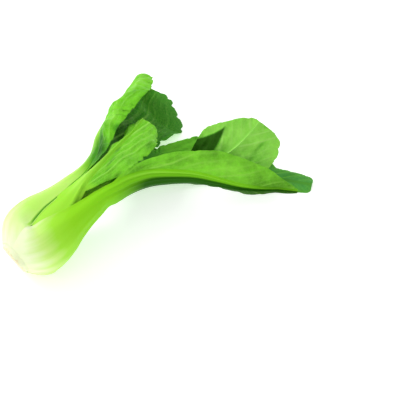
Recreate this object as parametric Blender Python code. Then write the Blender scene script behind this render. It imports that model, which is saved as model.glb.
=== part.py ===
"""A baby bok choy lying on its side: one cut head with its leaves spread.

The head is a round white bulb of clasping stalks on a short cut stem. Each leaf
is a thick stalk that runs out into a midrib, and a thin green blade that lies
on the stalk's inner face. Every leaf is drawn the same way. Its midrib is a
smooth curve through a few stations. At each place along it a cross-section runs
out to both sides, bent inwards by an angle that grows from the midrib to the
margin. Inside the bulb the sections are arcs about the head's axis, so that the
stalks nest as shells. Lengths are in millimetres until the meshes are made.
"""

import math

import bpy
import numpy as np

MM = 0.001

# The head's axis starts at the middle of the cut and rises a little.
CUT_CENTRE = (-128.0, -64.7, 22.2)
HEAD_TURN = math.radians(42.0)
HEAD_TILT = math.radians(10.0)
# The middle of the whole head on the surface, which becomes the origin.
MIDDLE = (-28.59, 10.07, 0.0)

# Shells of the bulb, as radius against the distance from the cut.
BULB_ROWS = (0.9, 3.2, 6.5, 10.5, 17.0, 25.0, 35.0, 45.0, 56.0, 64.5, 73.0)
SHELL_STARTS = (0.9, 6.5, 10.5)
SHELLS = (
    ((0.9, 13.6), (3.2, 16.8), (6.5, 20.4), (10.5, 23.8), (17.0, 26.6), (25.0, 27.3),
     (35.0, 26.0), (45.0, 23.0), (56.0, 20.6), (73.0, 18.6)),
    ((0.9, 11.7), (6.5, 12.0), (10.5, 14.2), (17.0, 17.4), (25.0, 19.0), (35.0, 18.7),
     (45.0, 16.6), (56.0, 14.8), (73.0, 13.3)),
    ((6.5, 8.0), (10.5, 8.8), (17.0, 10.8), (25.0, 12.2), (35.0, 12.2), (45.0, 10.8),
     (56.0, 9.5), (73.0, 8.2)),
    ((10.5, 4.6), (17.0, 4.9), (25.0, 5.2), (45.0, 4.6), (73.0, 3.4)),
)
SHELL_GAP = 0.8
# A stalk turns from its place at the base to its place at the neck between these distances.
TURN_FROM = 22.0
NECK = 73.0
# The stem inside the bulb, turned about the same axis: distance and radius.
STEM_PROFILE = ((-1.6, 10.9), (-0.6, 11.7), (4.6, 11.4), (5.8, 7.7), (9.0, 7.3), (9.9, 4.4),
                (16.0, 3.6), (22.0, 1.6))
STEM_SIDES = 24
CUT_SLANT = math.radians(10.0)
CUT_FACING = math.radians(26.0)

# The grid of every leaf. Rows lie a little closer together towards the tip.
STALK_STEPS = 4
BLADE_STEPS = 4
ROW_LENGTH = 8.5
ROW_CROWDING = 0.92

# A stalk thins into its midrib, and its margins are thinner than its middle.
MIDRIB_HALF_WIDTH = 0.9
MIDRIB_HEIGHT = 1.0
THINNING = 1.2
MARGIN_SHARE = 0.3
# An outer stalk's margins come down to what it clasps, more and more from here on.
CLASP_FROM = 14.0
CLASP_BY = 40.0
ROUND_BACK_PART = 0.12

# A blade: its thickness, its least reach beyond the stalk, its tightest curl and
# the parts of its length over which it starts, folds and ends.
BLADE_THICKNESS = 0.8
LEAST_REACH = 0.8
TIGHTEST_CURL = 6.0
START_PART = 0.15
END_PART = 0.1
FOLD_PART = 0.4
TIP_TUCK = 0.6
TIP_ROUNDNESS = 24
SWEEP_FADE = 3
SWEEP_LOSS = 0.25
FAR_WAVE = 0.8
FAR_WAVE_START = 2.0
TOUCH_GAP = 0.3

# The heart leaves: where they stand round the axis, and their distance and radius.
HEART_TURNS = (50.0, 170.0, 290.0)
HEART_PATH = ((66.0, 8.6), (76.0, 8.2), (85.0, 7.6), (93.0, 6.5))

STALK_COLOUR = (0.72, 0.86, 0.42, 1.0)
BLADE_COLOUR = (0.12, 0.36, 0.04, 1.0)
STEM_COLOUR = (0.86, 0.84, 0.55, 1.0)


def unit(vectors):
    """The same vectors with length one."""
    return vectors / np.linalg.norm(vectors, axis=-1, keepdims=True)


def head_axes():
    """The head's directions: along its axis, upwards from it and to its right."""
    along = np.array((math.cos(HEAD_TILT) * math.cos(HEAD_TURN),
                      math.cos(HEAD_TILT) * math.sin(HEAD_TURN),
                      math.sin(HEAD_TILT)))
    right = np.array((math.sin(HEAD_TURN), -math.cos(HEAD_TURN), 0.0))
    return along, np.cross(right, along), right


def smooth(keys, values, places):
    """Values at the places on a smooth curve through the keys."""
    keys = np.asarray(keys, float)
    values = np.asarray(values, float)
    flat = values.reshape(len(keys), -1)
    slopes = np.gradient(flat, keys, axis=0)
    cell = np.clip(np.searchsorted(keys, places) - 1, 0, len(keys) - 2)
    width = (keys[cell + 1] - keys[cell])[:, None]
    part = ((places - keys[cell])[:, None] / width).clip(0.0, 1.0)
    first = (1 + 2 * part) * (1 - part) ** 2 * flat[cell]
    leave = part * (1 - part) ** 2 * width * slopes[cell]
    last = part ** 2 * (3 - 2 * part) * flat[cell + 1]
    arrive = part ** 2 * (part - 1) * width * slopes[cell + 1]
    return (first + leave + last + arrive).reshape((len(places),) + values.shape[1:])


def shell_radius(shell, distance):
    """Radius of a shell's outer face at distances from the cut."""
    keys, radii = np.transpose(SHELLS[shell])
    return np.interp(distance, keys, radii)


def bulb_stations(leaf):
    """Midrib, frame, half-widths, bends, thickness and clasp of a leaf inside the bulb."""
    along, up, right = head_axes()
    start, end = SHELL_STARTS[leaf["shell"]], leaf["leaves_bulb_at"]
    rows = np.array([row for row in BULB_ROWS if start <= row <= end])
    share = ((rows - TURN_FROM) / (NECK - TURN_FROM)).clip(0.0, 1.0)[:, None]
    angles = np.radians((1 - share) * leaf["at_base"] + share * leaf["at_neck"])
    middle, halves = angles[:, 0:1], angles[:, 1:3]
    outward = np.cos(middle) * up + np.sin(middle) * right
    side = -np.sin(middle) * up + np.cos(middle) * right
    clasp = leaf["clasp"] * ((rows - CLASP_FROM) / (CLASP_BY - CLASP_FROM)).clip(0.0, 1.0)
    outer = shell_radius(leaf["shell"], rows)
    inner = shell_radius(leaf["shell"] + 1, rows) + SHELL_GAP
    centre = np.array(CUT_CENTRE) + rows[:, None] * along + outer[:, None] * outward
    return centre, outward, side, outer[:, None] * halves, halves, outer - inner, clasp


def blade_reach(part, rise, widest, fullness):
    """Blade's reach beyond the stalk, 0 to 1, at parts 0 to 1 of its length."""
    rise = np.sin(0.5 * math.pi * (part / widest).clip(0.0, 1.0)) ** rise
    fall = (1 - ((part - widest) / (1 - widest)).clip(0.0, 1.0) ** 2) ** fullness
    return np.where(part < widest, rise, fall)


def leaf_rows(leaf):
    """Every value of a leaf along its length, one row to a cross-section."""
    centre, outward, side, widths, bends, thick, clasp = bulb_stations(leaf)
    path = np.array([station[0] for station in leaf["path"]])
    facing = np.array([station[1] for station in leaf["path"]])
    points = np.vstack((centre, path))
    keys = np.concatenate(([0.0], np.cumsum(np.linalg.norm(np.diff(points, axis=0), axis=1))))
    heading = unit(np.gradient(points, keys, axis=0))[len(centre):]
    facing = unit(facing - np.sum(facing * heading, axis=1, keepdims=True) * heading)
    normals = np.vstack((outward, facing))
    sides = np.vstack((side, np.cross(heading, facing)))

    neck, tip = keys[len(centre) - 1], keys[-1]
    count = max(4, round((tip - neck) / ROW_LENGTH))
    free = neck + (tip - neck) * (np.arange(1, count + 1) / count) ** ROW_CROWDING
    rows = np.concatenate((keys[:len(centre)], free))
    out = ((rows - neck) / (tip - neck)).clip(0.0, 1.0)

    normal = unit(smooth(keys, normals, rows))
    ahead = unit(np.gradient(smooth(keys, points, rows), rows, axis=0))
    across = smooth(keys, sides, rows)
    across = unit(across - np.sum(across * normal, axis=1, keepdims=True) * normal)
    bulb = np.arange(len(rows)).clip(0, len(centre) - 1)
    stalk = widths[bulb] * (1 - out[:, None]) ** leaf["stalk_taper"] + MIDRIB_HALF_WIDTH
    stalk = np.where(out[:, None] > 0, stalk, widths[bulb])
    free_height = thick[-1] - TOUCH_GAP - BLADE_THICKNESS - MIDRIB_HEIGHT
    free_height = free_height * (1 - out) ** THINNING + MIDRIB_HEIGHT
    height = np.where(out > 0, free_height, thick[bulb])

    part = ((out - leaf["blade_from"]) / (1 - leaf["blade_from"])).clip(0.0, 1.0)
    reach = np.array(leaf["blade_widths"])
    grown = np.stack([blade_reach(part, *leaf["outline"][side]) for side in (0, 1)], axis=1)
    rounding = np.sqrt(1 - TIP_TUCK * part[:, None] ** TIP_ROUNDNESS)
    blunt = (part[:, None] / FOLD_PART).clip(0.0, 1.0) * rounding
    blade = stalk + LEAST_REACH + np.maximum(reach * grown, leaf["blunt"] * blunt)
    turn = np.radians(smooth((0.0, 0.5, 1.0), np.vstack((np.degrees(bends[-1]), leaf["bends"])), out))
    turn = np.minimum(turn, blade / TIGHTEST_CURL)
    bend = np.where(out[:, None] > 0, turn, bends[bulb])
    return {
        "rows": rows, "out": out, "part": part, "normal": normal, "across": across,
        "centre": smooth(keys, points, rows), "stalk": stalk, "blade": blade,
        "bend": bend, "height": height, "ahead": ahead, "first_blade": int(np.argmax(part > 0)),
        "round_back": np.maximum(clasp[bulb], (part / ROUND_BACK_PART).clip(0.0, 1.0)),
    }


def half_section(row, side, steps, power):
    """Places across one half of every row: sideways and inwards, and their slant.

    The slant grows with the distance from the midrib. The steps between the
    places are added up, each with its middle slant.
    """
    stalk = row["stalk"][:, side:side + 1] * np.linspace(0, 1, STALK_STEPS + 1)
    spare = row["blade"] - row["stalk"]
    wing = row["stalk"][:, side:side + 1] + spare[:, side:side + 1] * steps
    reach = np.hstack((stalk, wing))
    whole = np.where(row["part"] > 0, row["blade"][:, side], row["stalk"][:, side])
    slant = row["bend"][:, side:side + 1] * (reach / whole[:, None]) ** power
    middle = 0.5 * (slant[:, 1:] + slant[:, :-1])
    step = np.diff(reach, axis=1)
    zero = np.zeros((len(reach), 1))
    sideways = np.hstack((zero, np.cumsum(step * np.cos(middle), axis=1)))
    inwards = np.hstack((zero, np.cumsum(step * np.sin(middle), axis=1)))
    return sideways, inwards, slant


def leaf_surface(leaf, row):
    """The leaf's outer face as a grid of points, with the direction out of it."""
    steps = np.linspace(0, 1, BLADE_STEPS + 1)[1:]
    power = 1 - (1 - leaf["fold"]) * row["part"].clip(0, FOLD_PART) / FOLD_PART
    left = half_section(row, 0, steps, power[:, None])
    right = half_section(row, 1, steps, power[:, None])
    sideways = np.hstack((-left[0][:, :0:-1], right[0]))[..., None]
    inwards = np.hstack((left[1][:, :0:-1], right[1]))[..., None]
    slant = np.hstack((-left[2][:, :0:-1], right[2]))[..., None]
    across, normal = row["across"][:, None], row["normal"][:, None]
    points = row["centre"][:, None] + across * sideways - normal * inwards
    spare = row["blade"] - row["stalk"]
    beyond = np.hstack((spare[:, :1] * steps[::-1], np.zeros((len(spare), 2 * STALK_STEPS + 1)),
                        spare[:, 1:] * steps))
    swept = np.where(np.arange(beyond.shape[1]) < beyond.shape[1] / 2, *leaf["sweep"])
    fade = (1 - SWEEP_LOSS * row["part"] ** SWEEP_FADE)[:, None]
    points = points + row["ahead"][:, None] * (beyond * swept * fade)[..., None]
    flat = normal * np.cos(slant) + across * np.sin(slant)
    along_section = across * np.cos(slant) - normal * np.sin(slant)
    true = unit(np.cross(along_section, np.gradient(points, axis=0)))
    mix = np.minimum(row["part"] / START_PART, (1 - row["part"]) / END_PART).clip(0.0, 1.0)
    out = unit((1 - mix)[:, None, None] * flat + mix[:, None, None] * true)

    wing = np.concatenate((steps[::-1], np.zeros(2 * STALK_STEPS + 1), steps))
    turns = 2 * math.pi * row["rows"] / leaf["ruffle_length"]
    wave = np.sin(turns + leaf["ruffle_start"])
    other = np.sin(turns * FAR_WAVE + FAR_WAVE_START)
    sides = np.where(np.arange(len(wing)) < len(wing) / 2, wave[:, None], other[:, None])
    fade = (row["part"] * (1 - row["part"]) * 4).clip(0, 1)[:, None]
    lift = leaf["ruffle"] * wing ** 2 * sides * fade
    return points + out * lift[..., None], out


def above_surface(outer, inner):
    """Both faces, flattened where they would sink into what the head lies on."""
    outer_low = outer[..., 2] < inner[..., 2]
    outer[..., 2] = np.maximum(outer[..., 2], np.where(outer_low, 0.0, BLADE_THICKNESS))
    inner[..., 2] = np.maximum(inner[..., 2], np.where(outer_low, BLADE_THICKNESS, 0.0))
    return outer, inner


def slab(name, outer, inner, material):
    """A closed object between two grids of points."""
    rows, columns = outer.shape[:2]
    top = np.arange(rows * columns).reshape(rows, columns)
    low = top + rows * columns

    def split(a, b, c, d):
        return np.stack((a, b, c, a, c, d), axis=-1).reshape(-1, 3)

    faces = np.vstack((
        split(top[:-1, :-1], top[:-1, 1:], top[1:, 1:], top[1:, :-1]),
        split(low[:-1, :-1], low[:-1, 1:], low[1:, 1:], low[1:, :-1])[:, ::-1],
        split(top[:-1, 0], top[1:, 0], low[1:, 0], low[:-1, 0]),
        split(top[:-1, -1], low[:-1, -1], low[1:, -1], top[1:, -1]),
        split(top[0, :-1], low[0, :-1], low[0, 1:], top[0, 1:]),
        split(top[-1, :-1], top[-1, 1:], low[-1, 1:], low[-1, :-1]),
    ))
    points = (np.concatenate((outer.reshape(-1, 3), inner.reshape(-1, 3))) - MIDDLE) * MM
    return closed_object(name, points, faces, material)


def closed_object(name, points, faces, material):
    """A mesh object from points in metres and triangles, shaded smooth."""
    mesh = bpy.data.meshes.new(name)
    mesh.from_pydata(points.tolist(), [], faces.tolist())
    mesh.materials.append(material)
    mesh.shade_smooth()
    made = bpy.data.objects.new(name, mesh)
    bpy.context.scene.collection.objects.link(made)
    return made


def add_leaf(name, leaf, stalk_material, blade_material):
    """The stalk and the blade of one leaf."""
    row = leaf_rows(leaf)
    points, out = leaf_surface(leaf, row)
    height = row["height"][:, None]
    across = np.abs(np.linspace(-1, 1, 2 * STALK_STEPS + 1))[None, :]
    taper = (1 - MARGIN_SHARE) * across ** 2
    round_back = row["round_back"][:, None]
    top = round_back * height * taper
    low = height * (1 - (1 - round_back) * taper)
    stalk = slice(BLADE_STEPS, BLADE_STEPS + 2 * STALK_STEPS + 1)
    face, away = points[:-1, stalk], out[:-1, stalk]
    outer = face - away * top[:-1, :, None]
    inner = face - away * low[:-1, :, None]
    slab(name + "_stalk", *above_surface(outer, inner), stalk_material)

    first = row["first_blade"]
    depth = height[first:, :, None] + TOUCH_GAP
    outer = points[first:] - out[first:] * depth
    inner = points[first:] - out[first:] * (depth + BLADE_THICKNESS)
    slab(name + "_blade", *above_surface(outer, inner), blade_material)


def left_leaf():
    """The left outer leaf: its blade is folded, and its far half lies low."""
    return {
        "shell": 0, "leaves_bulb_at": NECK, "clasp": 0.45,
        "at_base": np.array((-67.0, 59.0, 65.5)), "at_neck": np.array((-67.0, 35.0, 36.0)),
        "path": (
            ((-78.0, 9.3, 37.0), (-0.88, 0.40, 0.00)),
            ((-72.5, 33.6, 29.0), (-0.85, 0.15, -0.35)),
            ((-62.8, 57.7, 21.5), (-0.80, 0.08, -0.52)),
            ((-53.8, 73.2, 17.5), (-0.85, 0.15, -0.42)),
            ((-50.0, 86.0, 16.0), (-0.90, 0.25, -0.25)),
            ((-45.5, 96.2, 14.5), (-0.94, 0.30, -0.10)),
        ),
        "stalk_taper": 1.6, "blade_from": 0.05, "blade_widths": (44.5, 33.0),
        "outline": ((2.3, 0.70, 0.20), (2.4, 0.60, 0.30)), "blunt": (37.0, 24.0), "fold": 0.8,
        "sweep": (0.4, 0.0), "bends": ((60.0, 135.0), (40.0, 110.0)),
        "ruffle": 2.0, "ruffle_length": 34.0, "ruffle_start": 0.6,
    }


def front_leaf():
    """The front right leaf, the largest: it arches over to the right on its edge."""
    return {
        "shell": 0, "leaves_bulb_at": NECK, "clasp": 0.8,
        "at_base": np.array((67.0, 65.5, 59.0)), "at_neck": np.array((67.0, 32.0, 46.0)),
        "path": (
            ((-57.4, -26.0, 42.0), (0.45, -0.80, 0.40)),
            ((-46.9, -17.8, 40.5), (0.35, -0.83, 0.45)),
            ((-35.0, -11.2, 38.5), (0.20, -0.85, 0.50)),
            ((-19.6, -7.7, 36.0), (0.05, -0.85, 0.52)),
            ((-3.5, -5.8, 33.0), (0.00, -0.82, 0.57)),
            ((12.6, -6.4, 29.0), (0.05, -0.80, 0.60)),
            ((28.0, -6.6, 24.0), (0.10, -0.78, 0.62)),
            ((43.4, -4.8, 19.0), (0.15, -0.75, 0.64)),
            ((56.0, -2.0, 15.0), (0.15, -0.72, 0.66)),
            ((68.5, -0.6, 11.0), (0.15, -0.70, 0.68)),
        ),
        "stalk_taper": 1.5, "blade_from": 0.06, "blade_widths": (19.0, 7.5),
        "outline": ((1.2, 0.62, 1.1), (1.3, 0.5, 0.8)), "blunt": (1.0, 1.0), "fold": 1.0,
        "sweep": (0.15, 0.1), "bends": ((40.0, 105.0), (30.0, 60.0)),
        "ruffle": 1.4, "ruffle_length": 38.0, "ruffle_start": 0.0,
    }


def under_leaf():
    """The leaf that the head lies on: its blade is spread over the surface."""
    return {
        "shell": 0, "leaves_bulb_at": NECK, "clasp": 0.6,
        "at_base": np.array((180.0, 53.0, 53.0)), "at_neck": np.array((180.0, 38.0, 33.0)),
        "path": (
            ((-57.5, 1.5, 12.5), (0.10, 0.05, -0.99)),
            ((-40.0, 14.0, 7.0), (0.05, 0.05, -0.99)),
            ((-20.0, 20.0, 3.4), (0.00, 0.05, -0.99)),
            ((5.0, 24.0, 1.5), (0.00, 0.05, -0.99)),
            ((30.0, 23.0, 0.8), (0.00, 0.05, -0.99)),
            ((55.0, 16.5, 0.8), (0.00, 0.00, -1.00)),
            ((78.5, 11.5, 0.8), (0.00, 0.00, -1.00)),
        ),
        "stalk_taper": 2.2, "blade_from": 0.12, "blade_widths": (4.0, 24.5),
        "outline": ((1.3, 0.85, 0.6), (0.9, 0.60, 3.8)), "blunt": (5.0, 7.0), "fold": 1.0,
        "sweep": (0.0, 0.0), "bends": ((18.0, 55.0), (-60.0, -40.0)),
        "ruffle": 1.0, "ruffle_length": 36.0, "ruffle_start": 1.0,
    }


def middle_leaf():
    """The short leaf in the middle, on top, with its right half spread."""
    return {
        "shell": 1, "leaves_bulb_at": 45.0, "clasp": 0.0,
        "at_base": np.array((0.0, 56.0, 56.0)), "at_neck": np.array((-14.0, 34.0, 44.0)),
        "path": (
            ((-88.0, -24.6, 48.2), (-0.20, 0.02, 0.97)),
            ((-80.0, -15.5, 50.8), (-0.20, 0.08, 0.97)),
            ((-70.4, -3.8, 50.5), (-0.12, 0.20, 0.96)),
            ((-62.0, 8.8, 47.5), (-0.05, 0.30, 0.94)),
            ((-53.5, 21.5, 43.5), (-0.03, 0.35, 0.93)),
            ((-46.0, 33.5, 39.0), (0.00, 0.35, 0.93)),
            ((-40.0, 45.5, 35.5), (0.05, 0.35, 0.93)),
        ),
        "stalk_taper": 3.0, "blade_from": 0.2, "blade_widths": (7.0, 20.0),
        "outline": ((1.5, 0.75, 0.45), (1.0, 0.62, 0.25)), "blunt": (4.0, 13.0), "fold": 1.0,
        "sweep": (0.0, 0.1), "bends": ((70.0, 35.0), (50.0, 40.0)),
        "ruffle": 1.6, "ruffle_length": 26.0, "ruffle_start": 0.4,
    }


def back_leaf():
    """The round leaf behind the front one, standing with its underside forwards."""
    return {
        "shell": 1, "leaves_bulb_at": NECK, "clasp": 0.0,
        "at_base": np.array((120.0, 56.0, 56.0)), "at_neck": np.array((92.0, 40.0, 40.0)),
        "path": (
            ((-58.5, -17.5, 34.5), (0.50, -0.80, 0.20)),
            ((-45.0, -6.5, 31.5), (0.35, -0.80, 0.40)),
            ((-28.0, 0.5, 29.5), (0.20, -0.80, 0.50)),
            ((-8.0, 6.0, 29.5), (0.15, -0.75, 0.60)),
            ((10.0, 11.5, 31.5), (0.20, -0.65, 0.70)),
            ((23.0, 19.0, 34.0), (0.25, -0.55, 0.78)),
            ((33.5, 30.0, 36.0), (0.25, -0.50, 0.80)),
            ((42.0, 41.5, 37.0), (0.25, -0.45, 0.82)),
        ),
        "stalk_taper": 1.8, "blade_from": 0.5, "blade_widths": (21.0, 25.0),
        "outline": ((1.0, 0.45, 0.9), (1.2, 0.62, 0.28)), "blunt": (4.0, 16.0), "fold": 1.0,
        "sweep": (0.0, 0.3), "bends": ((20.0, 5.0), (15.0, 10.0)),
        "ruffle": 1.4, "ruffle_length": 28.0, "ruffle_start": 1.4,
    }


def side_leaf():
    """The second leaf underneath, on the left, hidden by the left outer leaf."""
    return {
        "shell": 1, "leaves_bulb_at": NECK, "clasp": 0.0,
        "at_base": np.array((-120.0, 56.0, 56.0)), "at_neck": np.array((-132.0, 38.0, 38.0)),
        "path": (
            ((-70.7, 0.6, 27.0), (-0.40, 0.50, -0.75)),
            ((-61.0, 12.0, 26.0), (-0.30, 0.35, -0.88)),
            ((-51.0, 22.0, 23.5), (-0.20, 0.25, -0.95)),
            ((-42.0, 31.0, 20.5), (-0.15, 0.25, -0.95)),
        ),
        "stalk_taper": 1.4, "blade_from": 0.15, "blade_widths": (7.0, 7.0),
        "outline": ((1.2, 0.6, 0.5), (1.2, 0.6, 0.5)), "blunt": (1.0, 1.0), "fold": 1.0,
        "sweep": (0.0, 0.0), "bends": ((30.0, 30.0), (20.0, 20.0)),
        "ruffle": 0.8, "ruffle_length": 24.0, "ruffle_start": 0.0,
    }


def heart_leaf(turn):
    """One of the small leaves packed in the middle of the head."""
    along, up, right = head_axes()
    angle = math.radians(turn)
    out = math.cos(angle) * up + math.sin(angle) * right
    start = np.array(CUT_CENTRE)
    return {
        "shell": 2, "leaves_bulb_at": 56.0, "clasp": 0.0,
        "at_base": np.array((turn, 54.0, 54.0)), "at_neck": np.array((turn, 40.0, 40.0)),
        "path": tuple((tuple(start + along * distance + out * radius), tuple(out))
                      for distance, radius in HEART_PATH),
        "stalk_taper": 1.0, "blade_from": 0.25, "blade_widths": (1.2, 1.2),
        "outline": ((1.2, 0.5, 0.5), (1.2, 0.5, 0.5)), "blunt": (0.5, 0.5), "fold": 1.0,
        "sweep": (0.0, 0.0), "bends": ((34.0, 34.0), (20.0, 20.0)),
        "ruffle": 0.4, "ruffle_length": 20.0, "ruffle_start": 0.0,
    }


def add_stem_base(material):
    """The cut stem that every stalk grows from, turned about the head's axis."""
    along, up, right = head_axes()
    angle = np.arange(STEM_SIDES) / STEM_SIDES * 2 * math.pi
    ring = np.cos(angle)[:, None] * up + np.sin(angle)[:, None] * right
    distance, radius = np.transpose(STEM_PROFILE)
    axis = np.array(CUT_CENTRE) + distance[:, None] * along
    rings = axis[:, None] + radius[:, None, None] * ring
    slant = math.tan(CUT_SLANT) * np.cos(angle - CUT_FACING)
    rings[:2] -= radius[:2, None, None] * slant[:, None] * along
    points = np.vstack((rings.reshape(-1, 3), axis[:1], axis[-1:]))
    start = np.arange(len(distance) * STEM_SIDES).reshape(-1, STEM_SIDES)
    turned = np.roll(start, -1, axis=1)
    a, b, c, d = start[:-1], turned[:-1], turned[1:], start[1:]
    wall = np.stack((a, b, c, a, c, d), axis=-1).reshape(-1, 3)
    first, last = np.full(STEM_SIDES, start.size), np.full(STEM_SIDES, start.size + 1)
    cut = np.stack((turned[0], start[0], first), axis=-1)
    end = np.stack((start[-1], turned[-1], last), axis=-1)
    closed_object("stem_base", (points - MIDDLE) * MM, np.vstack((wall, cut, end)), material)


def finish(name, colour, roughness):
    """A plain material with a colour and a roughness."""
    material = bpy.data.materials.new(name)
    material.use_nodes = True
    surface = material.node_tree.nodes["Principled BSDF"]
    surface.inputs["Base Color"].default_value = colour
    surface.inputs["Roughness"].default_value = roughness
    surface.inputs["Metallic"].default_value = 0.0
    return material


def build():
    """The whole head."""
    for old in list(bpy.data.objects):
        bpy.data.objects.remove(old, do_unlink=True)
    stalk = finish("stalk", STALK_COLOUR, 0.35)
    blade = finish("blade", BLADE_COLOUR, 0.45)
    add_stem_base(finish("stem", STEM_COLOUR, 0.6))
    add_leaf("left_leaf", left_leaf(), stalk, blade)
    add_leaf("front_leaf", front_leaf(), stalk, blade)
    add_leaf("under_leaf", under_leaf(), stalk, blade)
    add_leaf("middle_leaf", middle_leaf(), stalk, blade)
    add_leaf("back_leaf", back_leaf(), stalk, blade)
    add_leaf("side_leaf", side_leaf(), stalk, blade)
    for count, turn in enumerate(HEART_TURNS, start=1):
        add_leaf(f"heart_leaf_{count}", heart_leaf(turn), stalk, blade)


build()
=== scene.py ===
# %% [markdown]
# # A baby bok choy, cut and laid on its side
#
# The plant is one head: a short cut stem, and round it the thick pale stalks that clasp each
# other into a bulb. Each stalk runs out into a thin green blade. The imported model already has
# every stalk and blade at its true place, as plain faceted solids. This script dresses them: each
# leaf is drawn again as one fine closed sheet with its ribs, veins and waved margin.

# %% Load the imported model
import math

import bpy
import numpy as np
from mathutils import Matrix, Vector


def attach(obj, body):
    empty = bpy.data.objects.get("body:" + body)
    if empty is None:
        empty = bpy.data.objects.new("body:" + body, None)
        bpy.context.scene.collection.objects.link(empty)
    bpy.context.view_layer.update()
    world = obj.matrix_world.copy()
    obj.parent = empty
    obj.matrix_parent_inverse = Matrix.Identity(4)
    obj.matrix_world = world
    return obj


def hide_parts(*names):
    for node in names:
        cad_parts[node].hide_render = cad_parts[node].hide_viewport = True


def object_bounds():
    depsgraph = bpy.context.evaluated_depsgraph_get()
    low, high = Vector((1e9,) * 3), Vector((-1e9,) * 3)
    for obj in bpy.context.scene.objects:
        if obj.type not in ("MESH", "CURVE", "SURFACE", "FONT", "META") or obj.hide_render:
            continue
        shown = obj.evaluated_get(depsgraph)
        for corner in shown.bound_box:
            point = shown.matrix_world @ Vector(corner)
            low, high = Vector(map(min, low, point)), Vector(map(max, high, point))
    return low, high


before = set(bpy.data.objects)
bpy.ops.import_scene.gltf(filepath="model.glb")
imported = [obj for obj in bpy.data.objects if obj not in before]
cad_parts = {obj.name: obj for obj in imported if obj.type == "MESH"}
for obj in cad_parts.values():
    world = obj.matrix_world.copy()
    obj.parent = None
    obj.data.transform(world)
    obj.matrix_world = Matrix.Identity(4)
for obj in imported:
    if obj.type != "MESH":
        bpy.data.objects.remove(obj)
cad_box = [list(corner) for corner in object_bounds()]
MM = 0.001
print("the packed model holds", len(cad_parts), "nodes in the box", cad_box)

# %% [markdown]
# ## The head's own axes
#
# The head lies turned and slightly raised, so it is easiest to think in its own directions: along
# its axis from the cut, upwards from that axis, and to its right. Every stalk in the bulb is then
# an arc of a shell round the axis, with a radius that depends only on the distance from the cut.
# The other way would be to model the bulb upright and turn it, but then every leaf tip, which is
# placed as it lies on the surface, would have to be turned back.

# %% The axis, the shells and the places where stalks turn
CUT_CENTRE = np.array((-128.0, -64.7, 22.2))
HEAD_TURN = math.radians(42.0)
HEAD_TILT = math.radians(10.0)
MIDDLE = np.array((-28.59, 10.07, 0.0))

ALONG = np.array((math.cos(HEAD_TILT) * math.cos(HEAD_TURN),
                  math.cos(HEAD_TILT) * math.sin(HEAD_TURN), math.sin(HEAD_TILT)))
RIGHT = np.array((math.sin(HEAD_TURN), -math.cos(HEAD_TURN), 0.0))
UP = np.cross(RIGHT, ALONG)

BULB_ROWS = (0.9, 3.2, 6.5, 10.5, 17.0, 25.0, 35.0, 45.0, 56.0, 64.5, 73.0)
SHELL_STARTS = (0.9, 6.5, 10.5)
SHELLS = (
    ((0.9, 13.6), (3.2, 16.8), (6.5, 20.4), (10.5, 23.8), (17.0, 26.6), (25.0, 27.3),
     (35.0, 26.0), (45.0, 23.0), (56.0, 20.6), (73.0, 18.6)),
    ((0.9, 11.7), (6.5, 12.0), (10.5, 14.2), (17.0, 17.4), (25.0, 19.0), (35.0, 18.7),
     (45.0, 16.6), (56.0, 14.8), (73.0, 13.3)),
    ((6.5, 8.0), (10.5, 8.8), (17.0, 10.8), (25.0, 12.2), (35.0, 12.2), (45.0, 10.8),
     (56.0, 9.5), (73.0, 8.2)),
    ((10.5, 4.6), (17.0, 4.9), (25.0, 5.2), (45.0, 4.6), (73.0, 3.4)),
)
SHELL_GAP = 0.8
TURN_FROM = 22.0
NECK = 73.0
CLASP_FROM = 14.0
CLASP_BY = 40.0
print("axis", ALONG.round(3), "up", UP.round(3), "right", RIGHT.round(3))

# %% [markdown]
# ## Smooth curves through a few values
#
# Each leaf is ruled by a few stations. A cubic that passes through them, with the slope at each
# one taken from its neighbours, gives every value in between: the midrib's place, the widths, the
# bends. All of them are worked out for the whole leaf at once, as arrays.

# %% Curves and easings
def smooth(keys, values, places):
    """Values at the places, on a curve of cubics through the keys.

    In each cell the value is a mix of both ends and both slopes, with the four cubic weights
    that make value and slope agree at the keys.
    """
    keys = np.asarray(keys, float)
    values = np.asarray(values, float)
    flat = values.reshape(len(keys), -1)
    slopes = np.gradient(flat, keys, axis=0)
    cell = np.clip(np.searchsorted(keys, places) - 1, 0, len(keys) - 2)
    width = (keys[cell + 1] - keys[cell])[:, None]
    part = ((places - keys[cell])[:, None] / width).clip(0.0, 1.0)
    first = (1 + 2 * part) * (1 - part) ** 2 * flat[cell]
    leave = part * (1 - part) ** 2 * width * slopes[cell]
    last = part ** 2 * (3 - 2 * part) * flat[cell + 1]
    arrive = part ** 2 * (part - 1) * width * slopes[cell + 1]
    return (first + leave + last + arrive).reshape((len(places),) + values.shape[1:])


def ease(values):
    """0 below 0, 1 above 1, and three times the square less twice the cube in between."""
    part = np.clip(values, 0.0, 1.0)
    return part * part * (3 - 2 * part)


def unit(vectors):
    """The same vectors with length one."""
    return vectors / np.linalg.norm(vectors, axis=-1, keepdims=True)


def rising(values, start, length):
    """0 before the start, 1 from that length further on, and eased in between."""
    return ease((values - start) / length)


WAVE_COUNT = 9
WAVE_LENGTHS = (0.7, 1.8)


def rumple(along, across, size, seed):
    """Uneven waves, mostly -1 to 1: nine sines in seeded random directions, added up."""
    draw = np.random.default_rng(seed)
    angles, starts = draw.uniform(0.0, 2 * math.pi, (2, WAVE_COUNT))
    lengths = size * draw.uniform(*WAVE_LENGTHS, WAVE_COUNT)
    total = 0.0
    for angle, start, length in zip(angles, starts, lengths):
        place = along * math.cos(angle) + across * math.sin(angle)
        total = total + np.sin(place * 2 * math.pi / length + start)
    return total / math.sqrt(WAVE_COUNT)


print("half way between 0 and 1 the easing gives", ease(0.5))

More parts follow.
